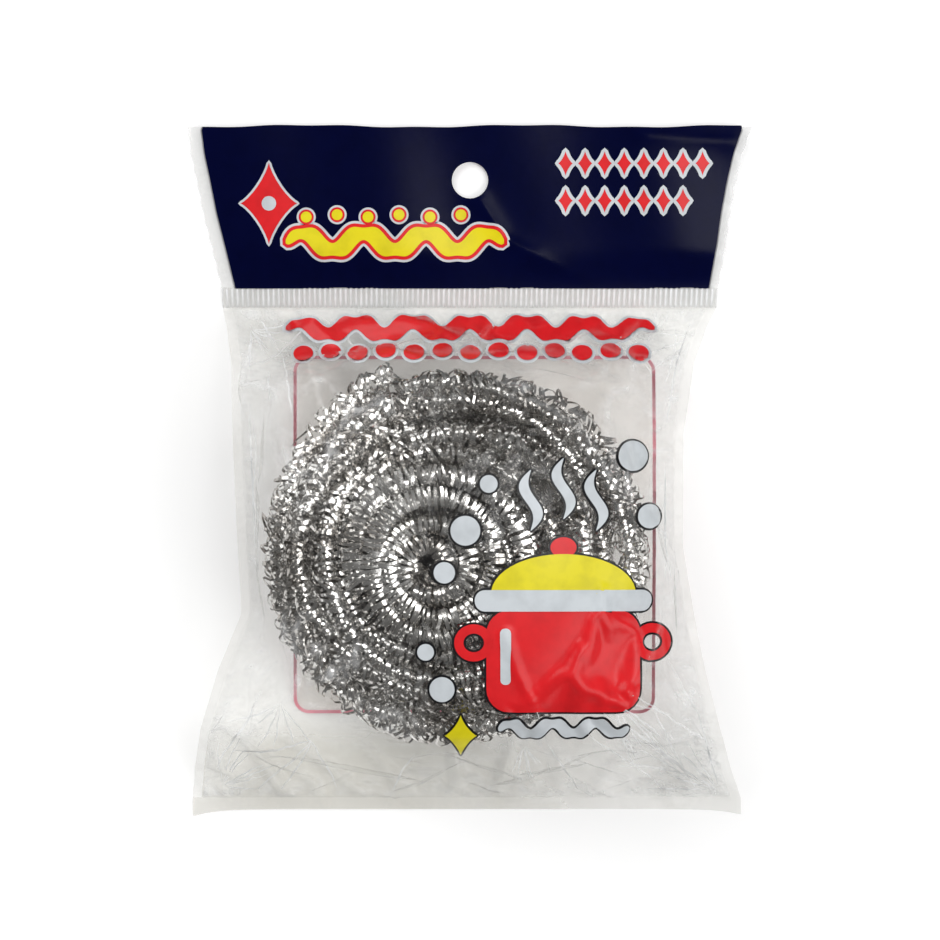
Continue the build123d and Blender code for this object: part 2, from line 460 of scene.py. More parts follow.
def film_material(name):
    """Thin clear film in small facets: milky in patches, white in creases as whitened film and
    painted highlight, and glossy on slants, with a painted white reflection mixed in.
    """
    haze, most_haze, tone, ripple, crease_white_and_highlight = FILM_LOOKS[name]
    material, node, noise = new_material(name)
    clear = node("BsdfTransparent", Color=(0.97, 0.97, 0.962, 1))
    milky = node("BsdfDiffuse", Color=(*tone, 1))
    white = node("BsdfDiffuse", Color=(0.9, 0.91, 0.92, 1))
    clouds = noise(55.0, 5.0, Roughness=0.65)
    cloudy = node("MapRange", clouds, From_Min=0.5, From_Max=0.72, To_Min=haze, To_Max=most_haze)
    # Painted shade: a number on the back film adds darker milky haze near the foot.
    foot_shade = node("Attribute", out="Fac", attribute_name="foot_shade")
    haze_and_foot_shade = node("Math", cloudy, foot_shade, operation="ADD", use_clamp=True)
    body = node("MixShader", haze_and_foot_shade, clear, milky)
    # Creases are mixed towards white, partly as whitened film and partly as painted highlight.
    crease = node("Attribute", out="Fac", attribute_name="crease")
    broken = node("Math", crease, noise(260.0, 2.0), operation="MULTIPLY")
    crease_share = node("Math", broken, crease_white_and_highlight, operation="MULTIPLY", use_clamp=True)
    creased = node("MixShader", crease_share, body, white)
    swirl = node("VectorMath", noise(45.0, 2.0, out="Color"), operation="SCALE", Scale=0.03)
    swirled = node("VectorMath", node("TexCoord", out="Object"), swirl, operation="ADD")
    facets = node("TexVoronoi", swirled, out="Distance", feature="DISTANCE_TO_EDGE", Scale=80.0)
    bump = node("Bump", Height=facets, Strength=ripple, Distance=0.0016)
    gloss = node("BsdfGlossy", Roughness=0.14, Normal=bump)
    # Painted reflection: white diffuse mixed into the gloss on slants stands in for a bright room
    # mirrored in the film.
    gloss_and_painted_reflection = node("MixShader", 0.35, gloss, white)
    slant = node("LayerWeight", out="Facing", Blend=0.5)
    steep = node("Math", slant, 4.0, operation="POWER")
    mirror = node("MapRange", steep, To_Min=0.018, To_Max=0.4)
    node("OutputMaterial", node("MixShader", mirror, creased, gloss_and_painted_reflection))
    return material


def ink_material(name):
    """Printed ink under gloss film, a little uneven."""
    colour, rough, shine = INK_LOOKS[name]
    material, node, noise = new_material(name)
    darkest = [part * INK_DARKEST for part in colour]
    shade = tone_ramp(node, noise(260.0, 4.0), (0.3, darkest), (0.6, colour))
    bump = node("Bump", Height=noise(500.0, 2.0), Strength=0.1, Distance=0.0001)
    ink = node(
        "BsdfPrincipled", Base_Color=shade, Roughness=rough, Normal=bump, Specular_IOR_Level=shine
    )
    node("OutputMaterial", ink)
    return material


# Random tracks


def smooth_noise(rng, samples, step, count):
    """A smooth random track of numbers around 0, with a new bend every so many samples."""
    knots = max(4, int(samples / step) + 4)
    track = rng.normal(0, 1, (knots, count))
    place = np.linspace(1, knots - 3, samples)
    low = place.astype(int)
    t = (place - low)[:, None]
    before, here, there, after = (track[low + shift] for shift in (-1, 0, 1, 2))
    return 0.5 * (
        2 * here
        + (there - before) * t
        + (2 * before - 5 * here + 4 * there - after) * t**2
        + (3 * here - before - 3 * there + after) * t**3
    )


# Scourer


def winding_line(name, rng):
    """The middle line of one winding's coil, points close together, and how wild it is."""
    lower, upper, heart_angle, low_share, high_share = WINDINGS[name]
    low_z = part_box(name)[0].z + LAYER_LIFT
    turns = np.arange(-lower, upper, TURN_STEP)
    angle = math.radians(heart_angle) + turns * math.pi / 2
    share = np.where(turns < 0, -turns / lower * low_share, turns / upper * high_share)
    climb = np.clip((turns + 1) / 2, 0, 1)
    climb = climb * climb * (3 - 2 * climb)
    wild = np.clip((share - WILD_START) / WILD_SPAN, 0, 1)
    heart = HEART_RADIUS * (1 - share)
    tight_sway, wild_sway = SWAY
    sway = smooth_noise(rng, len(turns), SWAY_POINTS, 3)
    sway = sway * (tight_sway + wild_sway * wild[:, None]) * MM
    line = np.empty((len(turns), 3))
    reach_x = heart + (BALL_HALF_WIDTH - COIL_RADIUS) * share
    reach_y = heart + (BALL_HALF_LENGTH - COIL_RADIUS) * share
    line[:, 0] = HEART.x + reach_x * np.cos(angle) + ROSETTE_SHIFT.x * (1 - share)
    line[:, 1] = HEART.y + reach_y * np.sin(angle) + ROSETTE_SHIFT.y * (1 - share)
    line[:, 2] = low_z + LAYER_STEP * climb
    return line + sway, wild


def resample(line, extra, spacing):
    """The line at even spacing, with the extra numbers carried along."""
    steps = np.linalg.norm(np.diff(line, axis=0), axis=1)
    walked = np.concatenate([[0], np.cumsum(steps)])
    places = np.arange(0, walked[-1], spacing)
    even = np.stack([np.interp(places, walked, line[:, axis]) for axis in range(3)], 1)
    return even, np.interp(places, walked, extra), places


def unit(vectors):
    return vectors / np.linalg.norm(vectors, axis=1)[:, None]


def pressed(curl):
    """The curls with their tops and undersides pushed in where the film presses on them."""
    away = np.hypot(curl[:, 0] - HEART.x, curl[:, 1] - HEART.y)
    share = np.clip(away / BALL_HALF_WIDTH, 0, 1)
    reach = PRESSED_HALF_HEIGHT * (1 - share**DOME_POWER) ** (1 / DOME_POWER)
    reach = np.maximum(reach, RIM_HALF_HEIGHT)
    low = np.maximum(HEART.z - reach, LOWEST_CURL)
    return np.clip(curl[:, 2], low, HEART.z + reach)


def curled_ribbon(name, line, wild, rng, material):
    """A flat ribbon wound in curls round the line, looser where it is wild."""
    even, wildness, places = resample(line, wild, CURL_PITCH / CURL_STEPS)
    forward = unit(np.gradient(even, axis=0))
    upward = unit(np.array([0, 0, 1.0]) - forward * forward[:, 2:3])
    sideways = np.cross(upward, forward)
    count = len(even)
    jitter = smooth_noise(rng, count, CURL_POINTS, 6)
    phase = 2 * math.pi * places / CURL_PITCH + jitter[:, 0] * CURL_SHIFT * wildness
    uneven, lean, tilt = (
        jitter[:, 1 + index] * (tight + more * wildness)
        for index, (tight, more) in enumerate(UNEVEN)
    )
    radius = COIL_RADIUS * (1 + uneven)
    out = sideways * np.cos(phase)[:, None] + upward * np.sin(phase)[:, None]
    slide = radius * (lean * np.cos(phase) + tilt * np.sin(phase))
    curl = even + out * radius[:, None] + forward * slide[:, None]
    curl[:, 2] = pressed(curl)
    along = unit(np.gradient(curl, axis=0))
    flat = unit(np.cross(along, out))
    face = np.cross(flat, along)
    half_width = RIBBON_WIDTH / 2 * (1.15 - 0.15 * wildness[:, None]) * (1 + 0.15 * jitter[:, 4:5])
    half_thickness = RIBBON_THICKNESS / 2
    corners = [(1, 1), (-1, 1), (-1, -1), (1, -1)]
    rings = np.stack(
        [curl + flat * half_width * w + face * half_thickness * t for w, t in corners], 1
    )
    start = np.arange(count - 1)[:, None] * 4
    quads = [
        start + np.array([corner, (corner + 1) % 4, (corner + 1) % 4 + 4, corner + 4])
        for corner in range(4)
    ]
    ends = np.array([[3, 2, 1, 0], [0, 1, 2, 3]]) + np.array([[0], [4 * (count - 1)]])
    piece = mesh_object(name, rings.reshape(-1, 3), np.concatenate([*quads, ends]), material)
    piece.data.set_sharp_from_angle(angle=math.radians(40))
    return piece


def make_scourer():
    steel = steel_material()
    for index, name in enumerate(WINDINGS):
        rng = np.random.RandomState(SCOURER_SEED + index)
        line, wild = winding_line(name, rng)
        middle = len(line) // 2
        halves = {"lower_curls": slice(0, middle), "upper_curls": slice(middle, None)}
        for half, part in halves.items():
            piece_name = name.replace("winding", half)
            piece = curled_ribbon(piece_name, line[part], wild[part], rng, steel)
            belongs(piece, "scourer", "steel_ribbon", name)


# Film pocket


def seam_height(y):
    """How high the side seam stands at each place along the bag."""
    above = y > BALL_CENTRE[1]
    reach = np.where(above, SEAL_BOTTOM - BALL_CENTRE[1], BALL_CENTRE[1] - POCKET_END)
    share = np.abs(y - BALL_CENTRE[1]) / reach
    return POCKET_RISE * np.clip(1 - share**END_POWER, 0, None) ** SEAM_POWER


def seam_lines(y):
    """The left and right seam at each place along the bag."""
    along, left, right = POCKET_EDGES.T
    return np.interp(y, along, left) + SIDE_WELD, np.interp(y, along, right) - SIDE_WELD


def spread(heights, places, count):
    """Shares of the way at which points along a profile lie half evenly on the film."""
    walked = np.concatenate([[0], np.cumsum(np.hypot(np.diff(places), np.diff(heights)))])
    share = np.linspace(0, 1, count)
    along = np.interp(share * walked[-1], walked, places)
    along = (along - places[0]) / (places[-1] - places[0])
    return (along + share) / 2


def pocket_layers(columns, rows):
    """The front and back layer of the pocket, as smooth as a blown-up pillow."""
    fine = np.linspace(SEAL_BOTTOM, POCKET_END, PROFILE_POINTS)
    down = spread(2 * seam_height(fine), fine, rows)
    y = SEAL_BOTTOM + (POCKET_END - SEAL_BOTTOM) * down
    left, right = (side[:, None] for side in seam_lines(y))
    fine = np.linspace(-1, 1, PROFILE_POINTS)
    arch = -POCKET_RISE * np.abs(fine) ** SIDE_POWER
    across = spread(arch, fine * POCKET_HALF_WIDTH, columns)
    x = left + (right - left) * across
    y = np.repeat(y[:, None], columns, 1)
    side_share = np.abs(2 * across - 1) ** SIDE_POWER
    rise = seam_height(y)
    front = np.stack([x, y, FILM + rise * (2 - side_share)], 2)
    back = np.stack([x, y, np.maximum(rise * side_share, TABLE_GAP)], 2)
    return front, back


def film_slack(rows, columns):
    """How much longer than the smooth shape the film is, across and along."""
    across = np.abs(np.linspace(-1, 1, columns))[None, :] * np.ones((rows, 1))
    share = np.linspace(0, 1, rows)[:, None] * np.ones((1, columns))
    foot = np.clip((share - FOOT_START) / (1 - FOOT_START), 0, 1)
    head = np.clip((HEAD_END - share) / HEAD_END, 0, 1)
    slack = FILM_SLACK + SIDE_SLACK * across**3
    foot_across, foot_along = FOOT_SLACK
    return slack + foot_across * foot + HEAD_SLACK * head, slack + foot_along * foot


def film_links(rows, columns):
    """Pairs of grid points to hold apart, in sets in which no point comes twice."""
    sets = []
    for down, right, holds in ((0, 1, 1), (1, 0, 1), (1, 1, 1), (1, -1, 1), (0, 2, 0), (2, 0, 0)):
        step = max(down, right)
        for start in range(2):
            row = np.arange(rows - down)
            column = np.arange(max(0, -right), columns - max(0, right))
            if down:
                row = row[(row // step) % 2 == start]
            else:
                column = column[(column // step) % 2 == start]
            row, column = (part.ravel() for part in np.meshgrid(row, column, indexing="ij"))
            sets.append(((row, column), (row + down, column + right), holds))
    return sets


def rest_lengths(layer, links):
    """How long each link is when the film is neither stretched nor bunched."""
    across, along = film_slack(*layer.shape[:2])
    lengths = []
    for here, there, _ in links:
        run = layer[there] - layer[here]
        share = run[:, 0] ** 2 / (run**2).sum(1)
        slack = share * across[here] + (1 - share) * along[here]
        lengths.append(np.sqrt((run**2).sum(1)) * slack)
    return lengths


def pull_links(layer, links, lengths, free, bend):
    for (here, there, holds), length in zip(links, lengths):
        run = layer[there] - layer[here]
        span = np.sqrt((run**2).sum(1)) + 1e-9
        free_here, free_there = free[here], free[there]
        stiffness = LINK_STIFFNESS if holds else bend
        share = stiffness * (span - length) / (span * (free_here + free_there + 1e-9))
        layer[here] += run * (share * free_here)[:, None]
        layer[there] -= run * (share * free_there)[:, None]


def push_off_ball(layer, free):
    """Moves film that is inside the scourer's rounded outline out to its surface."""
    away = layer - BALL_CENTRE
    flat = np.hypot(away[..., 0], away[..., 1])
    round_part = flat / BALL_RADIUS
    high_part = np.abs(away[..., 2]) / BALL_HALF_HEIGHT
    inside = 1 - round_part**DOME_POWER - high_part**DOME_POWER
    slope_flat = round_part ** (DOME_POWER - 1) / BALL_RADIUS
    slope_high = high_part ** (DOME_POWER - 1) / BALL_HALF_HEIGHT
    slope = np.hypot(slope_flat, slope_high) + 1e-9
    depth = np.clip(inside, 0, None) / (DOME_POWER * slope) * DOME_PUSH * free
    outward = np.stack([
        away[..., 0] / (flat + 1e-9) * slope_flat,
        away[..., 1] / (flat + 1e-9) * slope_flat,
        np.sign(away[..., 2]) * slope_high,
    ], 2)
    layer += outward * (depth / slope)[..., None]
    np.maximum(layer[..., 2], TABLE_GAP, out=layer[..., 2])


def settle(front, back, steps, noise, bend, rng):
    """Lets the two layers find their folds, held at the seal, the foot and the seams."""
    rows, columns, _ = front.shape
    links = film_links(rows, columns)
    smooth = pocket_layers(columns, rows)
    lengths = [rest_lengths(layer, links) for layer in smooth]
    seams = smooth[0][:, (0, -1)].copy()
    free = np.ones((rows, columns))
    free[(0, -1), :] = 0
    inner = np.zeros((rows, columns))
    inner[1:-1, 1:-1] = 1
    for layer in (front, back):
        layer += rng.normal(0, 1, layer.shape) * inner[..., None] * noise * [0.3, 0.3, 1]
    before = [front.copy(), back.copy()]
    for _ in range(steps):
        for layer, last, length in zip((front, back), before, lengths):
            speed = np.clip((layer - last) * FILM_DAMPING, -FASTEST, FASTEST)
            last[:] = layer
            layer += speed * free[..., None]
            layer[..., 2] -= FILM_WEIGHT * free
            pull_links(layer, links, length, free, bend)
            push_off_ball(layer, free)
        gap = (back[..., 2] + TABLE_GAP - front[..., 2]) / 2
        gap = np.clip(gap, 0, None) * inner
        front[..., 2] += gap
        back[..., 2] = np.maximum(back[..., 2] - gap, TABLE_GAP)
        for side, column in enumerate((0, -1)):
            seam = (front[:, column] + back[:, column]) / 2
            seam += (seams[:, side] - seam) * SEAM_HOLD
            front[:, column] = seam
            back[:, column] = seam


def refine(layer, columns, rows):
    """The layer on a finer grid."""
    old_rows, old_columns, _ = layer.shape
    down = np.linspace(0, old_rows - 1, rows)
    right = np.linspace(0, old_columns - 1, columns)
    row = np.minimum(down.astype(int), old_rows - 2)
    column = np.minimum(right.astype(int), old_columns - 2)
    part = (down - row)[:, None, None]
    tall = layer[row] * (1 - part) + layer[row + 1] * part
    part = (right - column)[None, :, None]
    return tall[:, column] * (1 - part) + tall[:, column + 1] * part


def fold_table():
    """The long folds and the finer ones of the fans, in rows like those of FOLDS."""
    rng = np.random.RandomState(FOLD_SEED)
    rows = list(FOLDS)
    for x, y, first, last, count, longest in FOLD_FANS:
        for angle in np.radians(np.linspace(first, last, count) + rng.normal(0, FAN_TURN, count)):
            near, far = np.array([FAN_START, 1.0]) * longest * rng.uniform(*FAN_LENGTHS)
            across, along = math.cos(angle), math.sin(angle)
            ends = (x + near * across, y + near * along, x + far * across, y + far * along)
            rows.append((*ends, rng.uniform(*FAN_HEIGHTS), rng.uniform(*FAN_WIDTHS)))
    return np.array(rows)


def bent(x, y):
    """Places moved a little so that straight folds come out uneven."""
    return (
        x + 0.5 * np.sin(0.31 * y + 0.2 * x) + 0.1 * np.sin(1.7 * y),
        y + 0.5 * np.sin(0.27 * x + 1.0) + 0.1 * np.sin(1.9 * x),
    )


def fold_lift(x, y):
    """How far the folds lift the front film: sharp ridges with flat sides."""
    places = bent(x, y)
    lift = np.zeros(x.shape)
    for start_x, start_y, end_x, end_y, height, width in fold_table():
        away = to_line(*places, [(start_x, start_y), (end_x, end_y)])
        slope = np.clip(1 - away / (FOLD_REACH * width), 0, 1)
        lift = np.maximum(lift, FOLD_SHARE * height * slope)
    lift[(0, -1), :] = 0
    lift[:, (0, -1)] = 0
    return lift


def fold_strip(start_x, start_y, end_x, end_y, width):
    """The white line on the crest of a fold, as whitened film and painted highlight, tapered at
    both ends.
    """
    length = math.hypot(end_x - start_x, end_y - start_y)
    share = np.linspace(0, 1, int(length / 0.6) + 4)
    x = start_x + (end_x - start_x) * share
    y = start_y + (end_y - start_y) * share
    moved_x, moved_y = bent(x, y)
    y = np.clip(2 * y - moved_y, POCKET_END + STRIP_MARGIN, SEAL_BOTTOM - STRIP_MARGIN)
    left, right = seam_lines(y)
    x = np.clip(2 * x - moved_x, left + STRIP_MARGIN, right - STRIP_MARGIN)
    middle = np.stack([x, y], 1)
    side = np.array([start_y - end_y, end_x - start_x]) / length
    half = STRIP_SHARE / 2 * width * (STRIP_END + np.sin(math.pi * share) ** 0.7)
    edge = side * half[:, None]
    return np.concatenate([middle - edge, (middle + edge)[::-1]])


def settled_film():
    """The creased front and back layer, worked out on finer and finer grids."""
    rng = np.random.RandomState(FILM_SEED)
    front, back = pocket_layers(*SETTLING[0][:2])
    for columns, rows, steps, noise, bend in SETTLING:
        front = refine(front, columns, rows)
        back = refine(back, columns, rows)
        settle(front, back, steps, noise, bend, rng)
    front_creases = refine(crease_amount(front)[..., None], *FINEST_GRID)[..., 0]
    front = refine(front, *FINEST_GRID)
    front[..., 2] += fold_lift(front[..., 0], front[..., 1])
    return front, back, front_creases, crease_amount(back)


def crease_amount(layer):
    """How sharply the film bends at each point, from 0 where smooth to 1 in a crease."""
    amount = np.zeros(layer.shape[:2])
    for axis in (0, 1):
        turned = np.moveaxis(layer, axis, 0)
        before = turned[1:-1] - turned[:-2]
        after = turned[2:] - turned[1:-1]
        before_length = np.linalg.norm(before, axis=2)
        after_length = np.linalg.norm(after, axis=2)
        turn = np.linalg.norm(
            after / after_length[..., None] - before / before_length[..., None], axis=2
        )
        bend = turn / ((before_length + after_length) / 2)
        amount_turned = np.moveaxis(amount, axis, 0)
        amount_turned[1:-1] = np.maximum(amount_turned[1:-1], bend)
    return np.clip((amount - CREASE_START) / (CREASE_FULL - CREASE_START), 0, 1)


def mark(piece, name, amount):
    """Gives the piece's points a number that its material reads."""
    values = piece.data.attributes.new(name, "FLOAT", "POINT")
    values.data.foreach_set("value", amount.ravel().astype(np.float32))


def painted_foot_shade(x, y):
    """How much painted shade, as a darker milky haze, the film gets near its foot."""
    down = np.clip((FOOT_SHADE_TOP - y) / FOOT_SHADE_FADE, 0, 1)
    return MOST_FOOT_SHADE * down * np.clip(1.3 - np.abs(x - FOOT_SHADE_MIDDLE) / FOOT_SHADE_REACH, 0, 1)


def weld_strip(seam, outer_x, outer_y, drop):
    """The flat joined film outside a seam, from the seam to the bag's edge."""
    steps = np.linspace(0, 1, 5)[None, :, None]
    outer = seam.copy()
    outer[:, 0] += outer_x
    outer[:, 1] += outer_y
    outer[:, 2] = np.maximum(outer[:, 2] - drop, TABLE_GAP)
    return seam[:, None] * (1 - steps) + outer[:, None] * steps


def make_pocket(front, back, front_creases, back_creases):
    weld_look = film_material("film_weld")
    front_film = grid_object("front_film", front, film_material("clear_film"))
    belongs(front_film, "pocket", "clear_film", "front_panel")
    # The crease numbers whiten the film in its creases, partly as whitened film and partly as
    # painted highlight.
    mark(front_film, "crease", front_creases)
    back_film = grid_object("back_film", back, film_material("back_film"))
    belongs(back_film, "pocket", "clear_film", "back_panel")
    mark(back_film, "crease", back_creases)
    # Painted shade: darker milky haze near the foot of the back film.
    mark(back_film, "foot_shade", painted_foot_shade(back[..., 0], back[..., 1]))
    for side, column, outward in (("left", 0, -SIDE_WELD), ("right", -1, SIDE_WELD)):
        grid = weld_strip(back[:, column], outward, 0, SIDE_DROP)
        strip = grid_object(f"{side}_weld_strip", grid, weld_look)
        belongs(strip, "pocket", "film_weld", f"{side}_side_weld")
    foot = back[-1].copy()
    foot[0, 0] -= SIDE_WELD
    foot[-1, 0] += SIDE_WELD
    share = np.abs(foot[:, 0] / foot[-1, 0])
    low_grid = weld_strip(foot, 0, BAG_END - POCKET_END - FOOT_CORNER * share**12, FOOT_DROP)
    low = grid_object("bottom_weld_strip", low_grid, weld_look)
    # Painted shade: the same darker haze on the bottom weld.
    mark(low, "foot_shade", painted_foot_shade(low_grid[..., 0], low_grid[..., 1]))
    belongs(low, "pocket", "film_weld", "bottom_weld")
    return front_film, back_film


# Header


def header_edge(y, side):
    return np.interp(y, HEADER_EDGES[:, 0], HEADER_EDGES[:, 1 + side])


def to_line(x, y, points):
    """How far each place is from a line of points."""
    least = np.full(np.shape(x), 1e9)
    for (ax, ay), (bx, by) in zip(points, points[1:]):
        run = (bx - ax) ** 2 + (by - ay) ** 2
        share = np.clip(((x - ax) * (bx - ax) + (y - ay) * (by - ay)) / run, 0, 1)
        away = np.hypot(x - ax - share * (bx - ax), y - ay - share * (by - ay))
        least = np.minimum(least, away)
    return least


def header_height(x, y):
    """How high the header film lies above the table."""
    free = np.clip((y - SEAL_TOP) / 9, 0, 1)
    free = free * free * (3 - 2 * free)
    wave = 0.9 + 0.35 * np.sin(0.09 * x + 0.8) * np.cos(0.06 * y)
    wave = wave + 0.14 * np.sin(0.21 * x + 0.05 * y + 2.1)
    crease = 0.55 * np.exp(-to_line(x, y, HEADER_CREASE) / 1.8)
    corner = 0.5 * np.exp(-to_line(x, y, CORNER_CREASE) / 3.0)
    return HEADER_REST + free * (wave + crease + corner)


def tessellate(outlines, spacing):
    """Fills an outline, less the holes after it, with small triangles, all in the plane."""
    points = [np.asarray(outline, dtype=float) for outline in outlines]
    low = points[0].min(0)
    high = points[0].max(0)
    x, y = np.meshgrid(*(np.arange(low[i] + spacing / 2, high[i], spacing) for i in range(2)))
    inner = np.stack([x.ravel(), y.ravel()], 1)
    keep = within(inner, points)
    for outline in points:
        away = to_line(inner[:, 0], inner[:, 1], np.concatenate([outline, outline[:1]]))
        keep &= away > spacing * 0.4
    inner = inner[keep]
    edges = []
    start = 0
    for outline in points:
        count = len(outline)
        edges += [(start + i, start + (i + 1) % count) for i in range(count)]
        start += count
    corners = [Vector(point) for point in np.concatenate(points + [inner])]
    made = delaunay_2d_cdt(corners, edges, [], 0, 1e-6)
    places = np.array([tuple(corner) for corner in made[0]])
    faces = np.array(made[2])
    middles = places[faces].mean(1)
    return places, faces[within(middles, points)]


def within(places, outlines):
    """Which places are inside the outlines, by the even-odd rule."""
    inside = np.zeros(len(places), dtype=bool)
    for outline in outlines:
        for (ax, ay), (bx, by) in zip(outline, np.roll(outline, -1, axis=0)):
            crosses = (ay > places[:, 1]) != (by > places[:, 1])
            if ay != by:
                at = ax + (places[:, 1] - ay) / (by - ay) * (bx - ax)
                inside ^= crosses & (places[:, 0] < at)
    return inside


def oval(x, y, width, height, count=28):
    angle = np.arange(count) * 2 * math.pi / count
    return np.stack([x + width / 2 * np.cos(angle), y + height / 2 * np.sin(angle)], 1)


def header_outline(left_inset, right_inset, foot):
    """The header's outline inside its margins, with its gently wavy top edge."""
    side = np.arange(foot, HEADER_TOP - 0.3, 1.2)
    left = np.stack([header_edge(side, 0) + left_inset, side], 1)
    right = np.stack([header_edge(side, 1) - right_inset, side], 1)[::-1]
    x = np.linspace(left[-1, 0] + 0.3, right[0, 0] - 0.3, 90)
    top = np.stack([x, HEADER_TOP + 0.25 * np.sin(0.13 * x) + 0.1 * np.sin(0.4 * x)], 1)
    x = np.linspace(right[-1, 0] - 1, left[0, 0] + 1, 80)
    low = np.stack([x, np.full(80, foot)], 1)
    return np.concatenate([left, top, right, low])


def header_sheet(name, outline, lift, material):
    places, faces = tessellate([outline, oval(*HANG_HOLE, HANG_HOLE_SIZE, HANG_HOLE_SIZE)], 1.0)
    height = header_height(places[:, 0], places[:, 1]) + lift
    vertices = np.column_stack([places, np.maximum(height, TABLE_GAP)]) * MM
    return mesh_object(name, vertices, faces, material)


def header_margin(name, side, width, material):
    """The clear welded strip at one side of the header."""
    y = np.linspace(SEAL_TOP, HEADER_TOP - 0.1, 60)
    outer = header_edge(y, side) + 0.12 * np.sin(y * 1.7)
    inward = width if side == 0 else -width
    share = np.linspace(0, 1, 6)[None, :]
    x = outer[:, None] + inward * share
    y = np.repeat(y[:, None], 6, 1)
    grid = np.stack([x, y, header_height(x, y) - 0.08], 2)
    return grid_object(name, grid, material)


def make_header():
    navy = ink_material("navy_film")
    margin_look = film_material("header_margin")
    seal_look = film_material("ribbed_seal")
    foot = SEAL_TOP - OVERLAP
    outline = header_outline(LEFT_MARGIN, RIGHT_MARGIN, foot)
    front = header_sheet("header_front_film", outline, 0.0, navy)
    belongs(front, "header", "printed_film", "header_front_ply")
    outline = header_outline(LEFT_MARGIN - BACK_SHOWS, RIGHT_MARGIN - BACK_SHOWS, foot)
    back = header_sheet("header_back_film", outline, -LAYER_GAP, navy)
    belongs(back, "header", "printed_film", "header_back_ply")
    for index, (side, width) in enumerate((("left", LEFT_MARGIN), ("right", RIGHT_MARGIN))):
        margin = header_margin(f"header_{side}_margin", index, width + OVERLAP, margin_look)
        belongs(margin, "header", "film_weld", f"header_{side}_weld")
    columns = RIB_COUNT * 6 + 1
    y = np.linspace(SEAL_BOTTOM, SEAL_TOP, 9)[:, None] * np.ones((1, columns))
    share = np.linspace(0, 1, columns)[None, :]
    x = header_edge(y, 0) * (1 - share) + header_edge(y, 1) * share
    ridge = 0.5 + 0.5 * np.cos(2 * math.pi * RIB_COUNT * share)
    sag = 0.12 * np.sin(0.17 * x) + 0.05 * np.sin(0.9 * x + y)
    inside = np.clip(np.minimum(y - SEAL_BOTTOM, SEAL_TOP - y) / RIB_END, 0, 1)
    z = RIB_FOOT + RIB_HEIGHT * ridge * inside + sag
    seal = grid_object("crimp_band", np.stack([x, y, z], 2), seal_look)
    belongs(seal, "header", "ribbed_seal", "crimp_seal")
    # Painted highlight: the rib crests count as creases, so the seal's material whitens them.
    mark(seal, "crease", ridge**2 * inside)
    return front


# Printed shapes


def sparkle(x, y, width, height, count=40):
    """A four-pointed star with hollow sides."""
    angle = np.arange(count) * 2 * math.pi / count
    across = np.sign(np.cos(angle)) * np.abs(np.cos(angle)) ** 2.6
    up = np.sign(np.sin(angle)) * np.abs(np.sin(angle)) ** 2.6
    return np.stack([x + width / 2 * across, y + height / 2 * up], 1)


def rounded_box(x, y, width, height, radius):
    """A box with round corners, as evenly spaced points."""
    corners = []
    for turn, (side, up) in enumerate(((1, 1), (-1, 1), (-1, -1), (1, -1))):
        angle = (turn + np.linspace(0, 1, 7)) * math.pi / 2
        corner_x = x + side * (width / 2 - radius) + radius * np.cos(angle)
        corner_y = y + up * (height / 2 - radius) + radius * np.sin(angle)
        corners.append(np.stack([corner_x, corner_y], 1))
    return even_outline(np.concatenate(corners), 1.5)


def even_outline(points, spacing):
    """The outline with points added on its long straight runs."""
    result = []
    for here, there in zip(points, np.roll(points, -1, axis=0)):
        count = max(1, int(np.hypot(*(there - here)) / spacing))
        result += [here + (there - here) * step / count for step in range(count)]
    return np.array(result)


def wave_band(x_low, x_high, y, thickness, swing, waves):
    """A flowing band that is thick at its crests and thin between them."""
    x = np.linspace(x_low, x_high, int(24 * waves) + 24)
    turn = (x - x_low) / (x_high - x_low)
    middle = y + swing * np.sin(2 * math.pi * waves * turn)
    half = thickness / 2 * (0.75 + 0.25 * np.cos(4 * math.pi * waves * turn))
    half = half * np.sqrt(np.clip(1 - (2 * turn - 1) ** 8, 0.02, 1))
    low = np.stack([x, middle - half], 1)
    high = np.stack([x, middle + half], 1)[::-1]
    return np.concatenate([low, high])


def grown(outline, by):
    """The outline moved outward all round."""
    run = np.roll(outline, -1, axis=0) - np.roll(outline, 1, axis=0)
    outward = np.stack([run[:, 1], -run[:, 0]], 1)
    outward /= np.linalg.norm(outward, axis=1)[:, None] + 1e-9
    x, y = outline[:, 0], outline[:, 1]
    area = (x * np.roll(y, -1) - y * np.roll(x, -1)).sum()
    return outline + outward * by * np.sign(area)


def film_tree(piece):
    """The piece's surface, to lay printed shapes on."""
    vertices = [vertex.co for vertex in piece.data.vertices]
    faces = [tuple(polygon.vertices) for polygon in piece.data.polygons]
    return BVHTree.FromPolygons(vertices, faces)


def printed(name, shapes, tree, material, body):
    """One ink's shapes, each an outline with the holes in it, laid on a film from above."""
    lift = LIFTS[name] * MM
    vertices = []
    faces = []
    start = 0
    for outlines in shapes:
        places, triangles = tessellate(outlines, PRINT_SPACING)
        for x, y in places * MM:
            hit, normal, _, _ = tree.ray_cast(Vector((x, y, 0.1)), Vector((0, 0, -1)))
            vertices.append(hit + normal * math.copysign(lift, normal.z))
        faces.append(triangles + start)
        start += len(places)
    belongs(mesh_object(name, vertices, np.concatenate(faces), material), body, "printed_film")


def oval_row(x, y, step, width, height, count):
    """A row of ovals of which every second one lies a little higher."""
    return [oval(x + step * i, y + 0.5 * (i % 2), width, height) for i in range(count)]


def ring(x, y, width, height, thickness):
    """An oval ring as an outline and the hole in it."""
    return [oval(x, y, width - shrink, height - shrink) for shrink in (0, 2 * thickness)]


